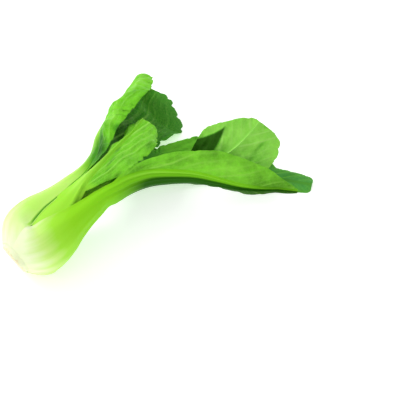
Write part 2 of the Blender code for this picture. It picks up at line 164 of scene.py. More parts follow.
# %% [markdown]
# ## A leaf along its length
#
# Inside the bulb a leaf's midrib lies on its shell. Outside, it follows its own stations, which
# were read off the photo and are listed leaf by leaf further on. One row of values is kept for
# every 0.7 mm of midrib: where it is, which way it faces, how wide the stalk and the blade are
# and how strongly the section is bent. In the lowest stretch of the bulb the outer stalks have
# grown together, so their margins are widened there until they meet.

# %% A leaf inside the bulb, all lengths in mm
GROWN_TOGETHER_TO = 16.0
GROWN_TOGETHER_BY = math.radians(1.6)
PARTING_LENGTH = 8.0


def bulb_stations(leaf):
    """A leaf inside the bulb: at each station its place is the shell's radius times outward."""
    start, end = SHELL_STARTS[leaf["shell"]], leaf["leaves_bulb_at"]
    rows = np.array([row for row in BULB_ROWS if start <= row <= end])
    share = ((rows - TURN_FROM) / (NECK - TURN_FROM)).clip(0.0, 1.0)[:, None]
    angles = (1 - share) * np.array(leaf["at_base"]) + share * np.array(leaf["at_neck"])
    angles = np.radians(angles)
    middle, halves = angles[:, 0:1], angles[:, 1:3]
    if leaf["shell"] == 0:
        held = 1 - rising(rows, GROWN_TOGETHER_TO, PARTING_LENGTH)
        halves = halves + GROWN_TOGETHER_BY * held[:, None]
    outward = np.cos(middle) * UP + np.sin(middle) * RIGHT
    side = -np.sin(middle) * UP + np.cos(middle) * RIGHT
    clasp = leaf["clasp"] * ((rows - CLASP_FROM) / (CLASP_BY - CLASP_FROM)).clip(0.0, 1.0)
    keys, radii = np.transpose(SHELLS[leaf["shell"]])
    outer = np.interp(rows, keys, radii)
    keys, radii = np.transpose(SHELLS[leaf["shell"] + 1])
    thick = outer - np.interp(rows, keys, radii) - SHELL_GAP
    return {
        "distance": rows, "centre": CUT_CENTRE + rows[:, None] * ALONG + outer[:, None] * outward,
        "outward": outward, "side": side, "width": outer[:, None] * halves, "bend": halves,
        "thick": thick, "clasp": clasp,
    }


print("the outer stalks have grown together up to", GROWN_TOGETHER_TO, "mm from the cut")

# %% The outline of a blade
FOLD_PART = 0.4
TIP_TUCK = 0.6
TIP_ROUNDNESS = 24
CORNER_TUCK = 0.35
CORNER_ROUNDNESS = 120
NOTCH_DRIFT = 2.5
NOTCH_DRIFT_LENGTH = 30.0
NOTCH_DEPTH_LENGTH = 22.0
NOTCH_STARTS = np.array((0.4, 1.3))
TWO_SIDES = np.array((0.0, 40.0))


def blade_reach(part, rise, widest, fullness):
    """Blade's reach, 0 to 1: a power of a sine up to the widest place, then a round fall."""
    rise = np.sin(0.5 * math.pi * (part / widest).clip(0.0, 1.0)) ** rise
    fall = (1 - ((part - widest) / (1 - widest)).clip(0.0, 1.0) ** 2) ** fullness
    return np.where(part < widest, rise, fall)


def blade_outline(leaf, rows, part):
    """How far the blade reaches beyond the stalk on its two sides, row by row.

    It is the larger of the outline and of a blunt tip with tucked corners, times one less the
    notches. A notch is the cube of how near a sine is to zero, at unevenly shifted places.
    """
    grown = np.stack([blade_reach(part, *leaf["outline"][side]) for side in (0, 1)], axis=1)
    end = part[:, None]
    rounding = np.sqrt(1 - TIP_TUCK * end ** TIP_ROUNDNESS - CORNER_TUCK * end ** CORNER_ROUNDNESS)
    blunt = (end / FOLD_PART).clip(0.0, 1.0) * rounding
    reach = np.maximum(np.array(leaf["blade_widths"]) * grown, leaf["blunt"] * blunt)
    places = rows[:, None] + NOTCH_DRIFT * rumple(rows[:, None], TWO_SIDES, NOTCH_DRIFT_LENGTH, 3)
    between = np.abs(np.sin(places * math.pi / leaf["notch_length"] + NOTCH_STARTS))
    uneven = 1 + rumple(rows[:, None], TWO_SIDES, NOTCH_DEPTH_LENGTH, 4)
    return reach * (1 - leaf["notch"] * (1 - between) ** 3 * uneven)


halfway = blade_reach(np.array((0.25, 0.5, 1.0)), 1.2, 0.6, 0.5).round(2)
print("such an outline reaches", halfway, "of its width a quarter, half and all the way out")

# %% Rows of values along a leaf
ROW_STEP = 0.7
MIDRIB_HALF_WIDTH = 0.9
MIDRIB_HEIGHT = 1.0
SHEET_DEPTH = 0.8
TOUCH_GAP = 0.3
THINNING = 1.2
FREED_BY = 0.06
LEAST_REACH = 0.8
LEAST_REACH_BY = 0.05
SLIM_BY = 0.4
SLIM_TIP = 0.6
TIGHTEST_CURL = 6.0
ROUND_BACK_PART = 0.12
LIP = 0.6


def leaf_rows(leaf):
    """Every value of a leaf along its length, as columns with one row to a cross-section."""
    bulb = bulb_stations(leaf)
    count = len(bulb["distance"])
    path, facing = np.hsplit(np.array(leaf["path"]), 2)
    points = np.vstack((bulb["centre"], path))
    keys = np.concatenate(([0.0], np.cumsum(np.linalg.norm(np.diff(points, axis=0), axis=1))))
    heading = unit(np.gradient(points, keys, axis=0))[count:]
    facing = unit(facing - np.sum(facing * heading, axis=1, keepdims=True) * heading)
    normals = np.vstack((bulb["outward"], facing))
    sides = np.vstack((bulb["side"], np.cross(heading, facing)))

    neck, tip = keys[count - 1], keys[-1]
    rows = np.linspace(0.0, tip, round(tip / ROW_STEP) + 1)
    out = ((rows - neck) / (tip - neck)).clip(0.0, 1.0)
    inside = rows.clip(max=neck)
    held = {name: smooth(keys[:count], bulb[name], inside)
            for name in ("distance", "width", "bend", "thick", "clasp")}
    centre = smooth(keys, points, rows)
    normal = unit(smooth(keys, normals, rows))
    across = smooth(keys, sides, rows)
    across = unit(across - np.sum(across * normal, axis=1, keepdims=True) * normal)

    freed = ease(out / FREED_BY)
    stalk = held["width"] * (1 - out[:, None]) ** leaf["stalk_taper"] + MIDRIB_HALF_WIDTH * freed[:, None]
    left_over = held["thick"] - (TOUCH_GAP + SHEET_DEPTH + MIDRIB_HEIGHT) * freed
    height = left_over * (1 - out) ** THINNING + MIDRIB_HEIGHT * freed

    part = ((out - leaf["blade_from"]) / (1 - leaf["blade_from"])).clip(0.0, 1.0)
    as_blade = ease(part / ROUND_BACK_PART)
    blade = stalk + (LEAST_REACH * ease(part / LEAST_REACH_BY))[:, None] + blade_outline(leaf, rows, part)
    stalk = stalk * ((1 - leaf["slim"] * ease(out / SLIM_BY)) * (1 - SLIM_TIP * out ** 4))[:, None]
    bends = np.vstack((np.degrees(bulb["bend"][-1]), leaf["bends"]))
    turn = np.minimum(np.radians(smooth((0.0, 0.5, 1.0), bends, out)), blade / TIGHTEST_CURL)
    columns = {
        "rows": rows, "out": out, "part": part, "height": height, "as_blade": as_blade,
        "from_cut": held["distance"] + rows - inside, "round_back": np.maximum(held["clasp"], as_blade),
    }
    columns = {key: values[:, None] for key, values in columns.items()}
    return {
        **columns, "normal": normal, "across": across, "centre": centre, "blade": blade,
        "ahead": unit(np.gradient(centre, rows, axis=0)), "stalk": stalk - LIP * (1 - columns["as_blade"]),
        "bend": np.where(columns["out"] > 0, turn, held["bend"]),
    }


print("a leaf has a row of values every", ROW_STEP, "mm")

# %% [markdown]
# ## A leaf across its width
#
# A cross-section runs out from the midrib to both sides. It is bent inwards by an angle that
# grows with the distance, so a stalk in the bulb is an arc and a blade can be cupped or folded
# right over. Adding up the small steps of such a curve as a running sum gives all the sections of
# a leaf in one go, with no loop over its points.

# %% Half a section
STALK_STEPS = 22


def half_section(row, side, steps, power):
    """Places across one half of every row: sideways, inwards, their slant and their reach.

    The slant is the row's whole bend times a power of the part of the width that is reached.
    Each step adds its length times the cosine and the sine of its middle slant.
    """
    stalk = row["stalk"][:, side:side + 1] * np.linspace(0, 1, STALK_STEPS + 1)
    spare = row["blade"] - row["stalk"]
    wing = row["stalk"][:, side:side + 1] + spare[:, side:side + 1] * steps
    reach = np.hstack((stalk, wing))
    slant = row["bend"][:, side:side + 1] * (reach / row["blade"][:, side:side + 1]) ** power
    middle = 0.5 * (slant[:, 1:] + slant[:, :-1])
    step = np.diff(reach, axis=1)
    zero = np.zeros((len(reach), 1))
    sideways = np.hstack((zero, np.cumsum(step * np.cos(middle), axis=1)))
    inwards = np.hstack((zero, np.cumsum(step * np.sin(middle), axis=1)))
    return sideways, inwards, slant, reach


print("half a stalk is worked out at", STALK_STEPS, "places besides its middle")

# %% The grid of a leaf's outer face
COLUMN_STEP = 0.72
LEAST_COLUMNS = 6
START_PART = 0.15
END_PART = 0.1
SWEEP_FADE = 3
SWEEP_LOSS = 0.25
FAR_WAVE = 0.8
FAR_WAVE_START = 2.0
FRILL_LENGTH = 0.45
FRILL_HEIGHT = 0.5
FAR_FRILL = 30.0


def leaf_grid(leaf, row):
    """The leaf's outer face before any relief, with what its relief and its colours need."""
    spare = row["blade"] - row["stalk"]
    counts = [max(LEAST_COLUMNS, round(spare[:, side].max() / COLUMN_STEP)) for side in (0, 1)]
    steps = [np.linspace(0, 1, count + 1)[1:] for count in counts]
    power = 1 - (1 - leaf["fold"]) * row["part"].clip(0, FOLD_PART) / FOLD_PART
    left = half_section(row, 0, steps[0], power)
    right = half_section(row, 1, steps[1], power)
    sideways, inwards, slant, reach = (
        np.hstack((sign * one[:, :0:-1], other))
        for sign, one, other in zip((-1, 1, -1, -1), left, right))
    across, normal = row["across"][:, None], row["normal"][:, None]
    points = row["centre"][:, None] + across * sideways[..., None] - normal * inwards[..., None]

    stalk_columns = 2 * STALK_STEPS + 1
    wing = np.concatenate((steps[0][::-1], np.zeros(stalk_columns), steps[1]))
    on_stalk = np.concatenate((np.full(counts[0], -1.0), np.linspace(-1, 1, stalk_columns),
                               np.full(counts[1], 1.0)))
    far = np.arange(len(wing)) < counts[0] + STALK_STEPS
    beyond = wing * np.where(far, spare[:, :1], spare[:, 1:])
    swept = np.where(far, *leaf["sweep"]) * (1 - SWEEP_LOSS * row["part"] ** SWEEP_FADE)
    points = points + row["ahead"][:, None] * (beyond * swept)[..., None]

    flat = normal * np.cos(slant)[..., None] + across * np.sin(slant)[..., None]
    section = across * np.cos(slant)[..., None] - normal * np.sin(slant)[..., None]
    true = unit(np.cross(section, np.gradient(points, axis=0)))
    mix = np.minimum(row["part"] / START_PART, (1 - row["part"]) / END_PART).clip(0.0, 1.0)
    out = unit((1 - mix)[..., None] * flat + mix[..., None] * true)
    turns = 2 * math.pi * row["rows"] / leaf["ruffle_length"]
    wave = np.where(far, np.sin(turns + leaf["ruffle_start"]), np.sin(turns * FAR_WAVE + FAR_WAVE_START))
    frill_length = leaf["ruffle_length"] * FRILL_LENGTH
    frill = rumple(row["rows"], np.where(far, FAR_FRILL, 0.0), frill_length, 5)
    fade = (row["part"] * (1 - row["part"]) * 4).clip(0, 1)
    waved = wing ** 2 * wave + FRILL_HEIGHT * wing ** 5 * frill
    points = points + out * (leaf["ruffle"] * fade * waved)[..., None]
    return {
        "points": points, "out": out, "wing": wing[None, :], "on_stalk": on_stalk[None, :],
        "far": far[None, :], "beyond": beyond, "reach": reach,
    }


print("columns of a blade are at most", COLUMN_STEP, "mm apart")

# %% [markdown]
# ## Veins, ribs and puckers
#
# From the midrib, side veins leave at an acute angle and bend towards the tip. Instead of drawing
# each one, a single number is worked out for every point of the blade: how many vein spacings it
# lies from the first vein, measured along the veins' own curve. Wherever that number is whole
# there is a vein. The tissue between the veins bulges to the upper side. On the stalk, fine ribs
# run lengthwise. All of this is real relief, because it catches the light as the leaf turns.

# %% Veins
VEIN_BEND = 0.012
VEIN_WIDTH = 0.62
VEIN_THINNING = 0.4
VEIN_START = 1.5
VEIN_STRENGTH = 0.62
VEIN_UNEVENNESS = 0.38
VEIN_DRIFT = 0.2
VEIN_DRIFT_LENGTH = 40.0
SMALL_DRIFT = 0.25
SMALL_DRIFT_LENGTH = 11.0
FINE_VEINS = 3.3
FINE_WIDTH = 0.5
FINE_DRIFT = 0.5
FINE_DRIFT_LENGTH = 14.0
BULGE_START = 5.0


def vein_field(leaf, row, grid):
    """Side veins as a ridge from 0 to 1, the bulge between them, and the finer veins.

    The phase is the distance along the midrib, less the lean of a vein that has come this far
    out, divided by the spacing. The ridge is a bell curve of the distance to the nearest whole.
    Uneven waves shift it, and a sine of the vein's own number makes some veins stronger.
    """
    d, s, far = grid["beyond"], row["rows"], grid["far"]
    spacing, wing = leaf["vein_spacing"], grid["wing"]
    signed = np.where(far, -d, d)
    slope = leaf["vein_lean"] + 2 * VEIN_BEND * d
    shift = VEIN_DRIFT * spacing * rumple(s, signed, VEIN_DRIFT_LENGTH, 7)
    shift = shift + SMALL_DRIFT * rumple(s, signed, SMALL_DRIFT_LENGTH, 8)
    phase = (s - leaf["vein_lean"] * d - VEIN_BEND * d ** 2 + shift) / spacing + 0.5 * far
    number = np.round(phase)
    off = (phase - number) * spacing / np.sqrt(1 + slope ** 2)
    strength = VEIN_STRENGTH + VEIN_UNEVENNESS * np.sin(2.4 * number + 3.0 * far)
    width = VEIN_WIDTH * (1 - VEIN_THINNING * wing)
    shown = ease(d / VEIN_START) * (1 - wing ** 3) * row["as_blade"]
    ridge = np.exp(-(off / width) ** 2) * shown * strength

    fine = phase * FINE_VEINS + FINE_DRIFT * rumple(s, signed, FINE_DRIFT_LENGTH, 9)
    off = (fine - np.round(fine)) * spacing / FINE_VEINS / np.sqrt(1 + slope ** 2)
    branch = np.exp(-(off / FINE_WIDTH) ** 2) * shown * (0.5 + 0.5 * np.sin(1.7 * np.round(fine)))
    bulge = np.sin(math.pi * phase) ** 2 * ease(d / BULGE_START) * (1 - 0.5 * wing ** 3)
    return ridge, bulge * row["as_blade"] * strength, branch


print("there are", FINE_VEINS, "fine veins to each side vein")

# %% Ribs, the crest of the midrib, and crumpled tissue
RIB_DRIFT = 0.5
RIB_DRIFT_LENGTH = 31.0
RIB_MEAN = 0.64
SMALL_RIBS = 0.5
SMALL_RIB_STEP = 0.9
CREST_START = (0.05, 0.2)
WIDE_CRUMPLE = (0.7, 1.6, 24.0)
SMALL_CRUMPLE = (0.3, 1.3, 8.0)
CRUMPLE_START = 8.0


def rib_field(leaf, row, grid):
    """Lengthwise ribs of the stalk, round above with sharp grooves: the size of a sine, centred."""
    drift = RIB_DRIFT * np.sin(row["rows"] / RIB_DRIFT_LENGTH + 1.0)
    wide = np.abs(np.sin(0.5 * math.pi * leaf["ribs"] * grid["on_stalk"] + drift)) - RIB_MEAN
    small = np.sin(SMALL_RIB_STEP * math.pi * leaf["ribs"] * grid["on_stalk"] + 1.1 - drift)
    return wide + SMALL_RIBS * small


def crest_field(leaf, row, grid):
    """The place across the leaf, -1 to 1 on the stalk, and the crest there: a bell round its own."""
    place = grid["on_stalk"] + np.where(grid["far"], -1, 1) * grid["wing"]
    bell = np.exp(-((place - leaf["crest"]) / leaf["crest_width"]) ** 2)
    return place, bell * rising(row["out"], *CREST_START)


def crumple_field(row, grid):
    """Uneven bulges of the blade: wide waves plus small ones, each a share of the whole."""
    along, total = row["rows"], 0.0
    for seed, (share, stretch, length) in enumerate((WIDE_CRUMPLE, SMALL_CRUMPLE), start=11):
        total = total + share * rumple(along, stretch * grid["reach"], length, seed)
    return total * ease(grid["beyond"] / CRUMPLE_START) * row["as_blade"]


print("the small ribs are", SMALL_RIBS, "as high as the wide ones")

# %% Dents and folds
FOLD_EDGE = 1.4
FOLD_RISE = 0.9
FOLD_SHADE = 1.9


def dent_field(leaf, row, grid):
    """Single dents of a leaf, in mm, and the shade painted into them, light where it is negative.

    Each is a bell along the midrib times a bell across the leaf. A fold lies on one side of each
    of its lines: the distances from them, eased over a narrow edge, are multiplied. Beyond
    them the sheet stands up and is darkened with painted shade.
    """
    along, signed = row["rows"], grid["reach"]
    dents, local_painted_shade = 0.0 * signed, 0.0 * signed
    # The last number of a dent is the shade painted in it; a negative one is light painted on it.
    for middle, across, length, width, depth, deeper in leaf["dents"]:
        bell = np.exp(-((along - middle) / length) ** 2 - ((signed - across) / width) ** 2)
        dents = dents + depth * bell
        local_painted_shade = local_painted_shade + deeper * bell
    folded = 1.0 if leaf["fold_lines"] else 0.0
    for start, end in leaf["fold_lines"]:
        turn = np.subtract(end, start)
        over = turn[1] * (along - start[0]) - turn[0] * (signed - start[1])
        folded = folded * ease(over / np.hypot(*turn) / FOLD_EDGE + 0.5)
    return dents - FOLD_RISE * folded, local_painted_shade + FOLD_SHADE * folded


print("a fold stands up by", FOLD_RISE, "mm")

# %% The thickness of stalk and blade
MARGIN_SHARE = 0.3
THIN_FROM = 0.55
THIN_MARGIN = 0.14
THINS_BEFORE = 2.0
HUMP_POWERS = (2.2, 0.8)
BLADE_THICK = 0.55
BLADE_THINS_BY = 0.2
LIP_LEAST = 0.15


def stalk_drop(row, a, back):
    """How far the stalk's outer face has dropped at a share of its half width.

    It is the square of the share times the clasp. Near a free margin it falls to a thin edge.
    """
    freed = ease((row["from_cut"] - GROWN_TOGETHER_TO + THINS_BEFORE) / PARTING_LENGTH)
    thin = ease((a - THIN_FROM) / (1 - THIN_FROM)) * freed
    return (1 - MARGIN_SHARE) * a ** 2 * back * (1 - thin) + (1 - THIN_MARGIN) * thin


def sheet_depths(row, grid):
    """Depths of the plain outer and inner face under the grid.

    The outer face drops from the midrib's back to the sheet's depth. The inner one lies under it
    by the stalk's or the blade's thickness, and both close in on each other along a free margin.
    """
    a, wing, as_blade = np.abs(grid["on_stalk"]), grid["wing"], row["as_blade"]
    height, back = row["height"], row["round_back"]
    sheet = height + TOUCH_GAP * as_blade
    hump = (1 - a ** HUMP_POWERS[0]) ** HUMP_POWERS[1]
    top = (1 - as_blade) * stalk_drop(row, a, back) * height + as_blade * sheet * (1 - hump)
    stalk_low = height * (1 - (1 - back) * (1 - MARGIN_SHARE) * a ** 2)
    stalk_low = np.maximum(stalk_low, top + THIN_MARGIN * height)
    blade_thick = BLADE_THICK - BLADE_THINS_BY * wing
    low = (1 - as_blade) * stalk_low + as_blade * (sheet + blade_thick)
    lip = np.sqrt(np.clip(1 - wing ** 2, 0, 1)) * (1 - LIP_LEAST) + LIP_LEAST
    closed = (low - top) * (1 - as_blade) * (1 - lip) * (wing > 0)
    parted = rising(row["from_cut"], GROWN_TOGETHER_TO, PARTING_LENGTH)
    return top + closed * 0.5 * parted, low - closed * 0.5


print("a blade is", BLADE_THICK, "mm thick at the midrib")

# %% What the colours follow
LOWER_SIDE = (0.2, 0.6)
LOWER_START = (0.02, 0.3)
EDGE_SIDE = (0.6, 0.4)
EDGE_END = 0.2
EDGE_SHADE = 0.3
GROWN_GREEN = (30.0, 50.0)
CLEFT_MARGIN = (0.92, 0.05)
CLEFT_WIDTH = 0.05
CLEFT_START = (17.0, 8.0)
CLEFT_END = (85.0, 15.0)
BLADE_COLOUR_START = 1.6
CREST_FADE = 0.6
RIB_LEAST = 0.2
CREASE_SHADE = 0.25
CREASE_MOST = 0.4


def colour_fields(leaf, row, grid, relief):
    """The numbers that a leaf's colours follow, most of them from 0 to 1.

    Green grows with the distance from the cut. The painted shade adds up the shade painted on the
    lower side and the near edge of a stalk, in the crevice along its margin, and in dents and folds.
    """
    a, wing, from_cut = np.abs(grid["on_stalk"]), grid["wing"], row["from_cut"]
    as_blade, out, place = row["as_blade"], row["out"], relief["crest_place"]
    grown = rising(from_cut, *GROWN_GREEN)
    lower = rising(place - leaf["crest"], *LOWER_SIDE) * rising(out, *LOWER_START)
    lower = lower + EDGE_SHADE * rising(place, *EDGE_SIDE) * grown * (1 - ease(out / EDGE_END))
    # Painted shade in the crevice where a stalk's margin lies on the next stalk.
    margin = rising(grid["on_stalk"] * np.sign(leaf["cleft_shade"]), *CLEFT_MARGIN)
    cleft_shade = margin * (1 - ease(wing / CLEFT_WIDTH)) * rising(from_cut, *CLEFT_START)
    local_painted_shade = relief["local_painted_shade"] + abs(leaf["cleft_shade"]) * cleft_shade * (1 - rising(from_cut, *CLEFT_END))
    start, end = leaf["greening"]
    # Painted light on the stalk's far rim and painted shade on its near rim, by moving the green ramp back
    # and on.
    painted_rim = leaf["rim_light_and_shade"] * a ** 4 * np.where(grid["far"], 1, -1)
    return {
        "green": ((from_cut - start) / (end - start)).clip(0, 1) - painted_rim,
        "blade": as_blade * ease(grid["beyond"] / BLADE_COLOUR_START) + 0 * wing,
        "vein": relief["veins"].clip(0, 1),
        # A pale line along the crest: partly the midrib's own lighter tissue, partly a painted highlight
        # on the ridge of the front leaf's arch.
        "crest": relief["crest"] * (1 - CREST_FADE * out),
        # The stalk is painted lighter on its raised ribs and greener in the grooves between them: painted
        # light and shade.
        "rib": relief["ribs"] * (1 - a ** 4) * (RIB_LEAST + (1 - RIB_LEAST) * grown),
        "deep": (leaf["lower_shade"] * lower + local_painted_shade).clip(-1.0, 2.0),
        # Painted shade that follows the crumples of the blade.
        "crease_shade": (CREASE_SHADE * relief["crumple"]).clip(0.0, CREASE_MOST),
        "edge": wing ** 3 * as_blade,
    }


print("a cleft starts", CLEFT_START[0], "mm from the cut")

# %% Both faces of a leaf
VEIN_HEIGHT = 0.42
FINE_SHARE = 0.4
GROOVE_DEPTH = 0.16
CREST_HEIGHT = 0.3
RIB_RISE = (14.0, 50.0)
SWELL_RISE = (5.0, 8.0)
SWELL_END = 0.25


def leaf_faces(leaf, row, grid):
    """Outer and inner face of a leaf, and the fields that its colours follow.

    Both faces are the grid moved along its normal, by their depths less the relief.
    """
    top, low = sheet_depths(row, grid)
    ridge, bulge, branch = vein_field(leaf, row, grid)
    dents, local_painted_shade = dent_field(leaf, row, grid)
    crest_place, crest = crest_field(leaf, row, grid)
    relief = {
        "veins": ridge + FINE_SHARE * branch, "ribs": rib_field(leaf, row, grid), "local_painted_shade": local_painted_shade,
        "crumple": crumple_field(row, grid), "crest_place": crest_place, "crest": crest,
    }
    a, out, from_cut = np.abs(grid["on_stalk"]), row["out"], row["from_cut"]
    move = leaf["crinkle"] * relief["crumple"] - leaf["pucker"] * bulge - dents
    swell = leaf["swell"] * (1 - a ** 2) * rising(from_cut, *SWELL_RISE) * (1 - ease(out / SWELL_END))
    rib_height = leaf["rib_height"] * rising(from_cut, *RIB_RISE) * (1 - a ** 4) * relief["ribs"]
    raised = move + rib_height + VEIN_HEIGHT * relief["veins"] + CREST_HEIGHT * crest * (1 - out) + swell
    outer = grid["points"] - grid["out"] * (top - raised)[..., None]
    inner = grid["points"] - grid["out"] * (low - move - GROOVE_DEPTH * ridge)[..., None]
    return outer, inner, colour_fields(leaf, row, grid, relief)


print("side veins stand up by", VEIN_HEIGHT, "mm")

# %% [markdown]
# ## From two grids to one closed piece
#
# Two grids of points become a closed body when their four sides are joined by walls. Blender gets
# the points and faces in one call each. The fields that colour follows, such as how far a point is
# from the cut, are stored on the points as attributes, and the distances along and across the leaf
# become its UV map, so that a fine net of veins can follow the surface.

# %% Meshes
def join_grids(outer, inner):
    """Points and square faces of the body between two grids, all faces outwards."""
    rows, columns = outer.shape[:2]
    top = np.arange(rows * columns).reshape(rows, columns)
    low = top + rows * columns
    strips = (
        (top[:-1, :-1], top[:-1, 1:], top[1:, 1:], top[1:, :-1]),
        (low[:-1, :-1], low[1:, :-1], low[1:, 1:], low[:-1, 1:]),
        (top[:-1, 0], top[1:, 0], low[1:, 0], low[:-1, 0]),
        (top[:-1, -1], low[:-1, -1], low[1:, -1], top[1:, -1]),
        (top[0, :-1], low[0, :-1], low[0, 1:], top[0, 1:]),
        (top[-1, :-1], top[-1, 1:], low[-1, 1:], low[-1, :-1]),
    )
    faces = np.vstack([np.stack(strip, axis=-1).reshape(-1, 4) for strip in strips])
    return np.concatenate((outer.reshape(-1, 3), inner.reshape(-1, 3))), faces


def add_piece(name, points, faces, fields, material, uv=None):
    """A mesh object in metres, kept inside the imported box, with its fields as attributes."""
    mesh = bpy.data.meshes.new(name)
    places = ((points - MIDDLE) * MM).clip(*cad_box)
    mesh.from_pydata(places.tolist(), [], faces)
    for field, values in fields.items():
        made = mesh.attributes.new(field, "FLOAT", "POINT")
        made.data.foreach_set("value", np.ascontiguousarray(values, np.float32).ravel())
    if uv is not None:
        layer = mesh.uv_layers.new(name="leaf_net")
        corner = np.empty(len(mesh.loops), np.int32)
        mesh.loops.foreach_get("vertex_index", corner)
        layer.data.foreach_set("uv", uv[corner].astype(np.float32).ravel())
    mesh.materials.append(material)
    mesh.shade_smooth()
    piece = bpy.data.objects.new(name, mesh)
    bpy.context.scene.collection.objects.link(piece)
    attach(piece, "root")
    return piece


print("a mesh gets its points and faces in one call, and each attribute in another")

# %% A whole leaf
REST_THICKNESS = 0.4
NET_UNIT = 100.0


def rest_on_surface(outer, inner):
    """Both faces, kept above the surface that the head lies on, the sheet's thickness apart."""
    outer_low = outer[..., 2] < inner[..., 2]
    outer[..., 2] = np.maximum(outer[..., 2], np.where(outer_low, 0.0, REST_THICKNESS))
    inner[..., 2] = np.maximum(inner[..., 2], np.where(outer_low, REST_THICKNESS, 0.0))
    return outer, inner


def add_leaf(name, leaf, material):
    """One whole leaf as a closed sheet, in the place of its plain stalk and blade."""
    row = leaf_rows(leaf)
    grid = leaf_grid(leaf, row)
    outer, inner, fields = leaf_faces(leaf, row, grid)
    points, faces = join_grids(*rest_on_surface(outer, inner))
    both = {field: np.tile(values.ravel(), 2) for field, values in fields.items()}
    both["upper"] = np.repeat((0.0, 1.0), len(points) // 2)
    along = row["rows"] + 0 * grid["reach"]
    net = np.stack((grid["reach"].ravel(), along.ravel()), axis=1) / NET_UNIT
    piece = add_piece(name, points, faces.tolist(), both, material, np.vstack((net, net)))
    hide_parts(name + "_stalk", name + "_blade")
    print(name, "has", len(row["rows"]), "rows and", 2 * len(faces), "triangles")
    return piece


print("one unit of the UV map is", NET_UNIT, "mm of leaf")

# %% [markdown]
# ## Colours and the node helper
#
# Colours are written as the hex values that a painter would pick on a screen. Blender's shaders
# work in linear light, so one function turns them. Another small function adds a node, sets what
# it is told and makes its links, which keeps each material down to a list of its steps.

# %% Colour and node helpers
def linear(code):
    """The linear colour of an sRGB hex code: a straight part near black, then a power of 2.4."""
    shown = np.array([int(code[place:place + 2], 16) for place in (1, 3, 5)]) / 255.0
    light = np.where(shown <= 0.04045, shown / 12.92, ((shown + 0.055) / 1.055) ** 2.4)
    return (*light.tolist(), 1.0)


def add(tree, kind, links=None, **settings):
    """A node of that kind, with its settings, and its inputs set or linked by name or place."""
    node = tree.nodes.new(kind)
    for key, value in settings.items():
        setattr(node, key, value)
    for key, value in (links or {}).items():
        if isinstance(value, bpy.types.NodeSocket):
            tree.links.new(value, node.inputs[key])
        else:
            node.inputs[key].default_value = value
    return node


def start_material(name, values):
    """A new material, its nodes and its shader, with the plain values on the shader's sockets."""
    material = bpy.data.materials.new(name)
    material.use_nodes = True
    surface = material.node_tree.nodes["Principled BSDF"]
    for key, value in values.items():
        surface.inputs[key].default_value = value
    return material, material.node_tree, surface


def set_ramp(node, stops):
    """Stops of a colour ramp: the place of each, and its hex colour."""
    ramp = node.color_ramp
    for place, _ in stops[2:]:
        ramp.elements.new(place)
    for element, (place, code) in zip(ramp.elements, stops):
        element.position = place
        element.color = linear(code)
    return node


print("leaf green in linear light", [round(value, 3) for value in linear("#5DBB28")[:3]])

# %% [markdown]
# ## Living leaf tissue
#
# A bok choy leaf is wet green tissue under a smooth skin of wax. The stalk has hardly any green
# in it near the base, where no light reached it, and turns yellow green and then green as it runs
# out. The blade's underside is light and matt, its upper side is dark and a little glossy, and
# the veins show pale on both. Light goes into the tissue and comes out again close by, which is
# what makes it glow, so part of the light is scattered under the surface.

# %% The colours of the leaves
# The first two ramps are partly the stalks' own colour and partly painted light and shade: the left stalk,
# which faces the key light, is drawn lighter, and the front stalk, turned from it, greener.
PALE_STALK = ((0.0, "#EFFBD2"), (0.12, "#DDF8A6"), (0.30, "#BDF26A"), (0.60, "#C0F070"),
              (1.0, "#96DC3C"))
GREEN_STALK = ((0.0, "#EFFBCC"), (0.14, "#CDF184"), (0.28, "#A2E53A"), (0.45, "#93DC22"),
               (0.75, "#86D41C"), (1.0, "#76C41A"))
YOUNG_STALK = ((0.0, "#E4F9AE"), (0.20, "#B4F054"), (0.45, "#A2E83C"), (1.0, "#90DC34"))
BLUISH_STALK = GREEN_STALK[:-1] + ((1.0, "#4E9630"),)
ROUND_STALK = YOUNG_STALK[:-1] + ((1.0, "#A2E466"),)
PARTS = ("stalk", "under", "under_deep", "upper", "upper_deep", "rim", "vein", "crest")
TISSUES = {
    "pale_outer_leaf_tissue": (
        PALE_STALK, "#7AD61E", "#3F920A", "#2E8A00", "#185A00", "#54A03C", "#A0DE60", "#A6E45C"),
    "bright_outer_leaf_tissue": (
        GREEN_STALK, "#82DA32", "#1E5C00", "#2F8600", "#154A00", "#6CC02C", "#A0E058", "#94D844"),
    "young_leaf_tissue": (
        YOUNG_STALK, "#7AD228", "#42980C", "#3E9A10", "#257400", "#88DE40", "#B0F06C", "#B8F468"),
    "round_back_leaf_tissue": (
        ROUND_STALK, "#96E054", "#52A820", "#2F7E08", "#164800", "#86D24A", "#AEE674", "#A2E466"),
    "bluish_under_leaf_tissue": (
        BLUISH_STALK, "#70C430", "#4E9A20", "#4EA048", "#226A1A", "#66B236", "#7CCB3C", "#4F9E3C"),
}
TISSUES = {name: dict(zip(PARTS, codes)) for name, codes in TISSUES.items()}
print("colours for", len(TISSUES), "kinds of leaf")

# %% [markdown]
# The values that a leaf's look follows are sums: a start, plus other values times numbers. The
# colour is then laid on in layers, each a mix of two colours by one of the values. Written as two
# tables, sums and layers can be read from top to bottom, and a loop makes the nodes.

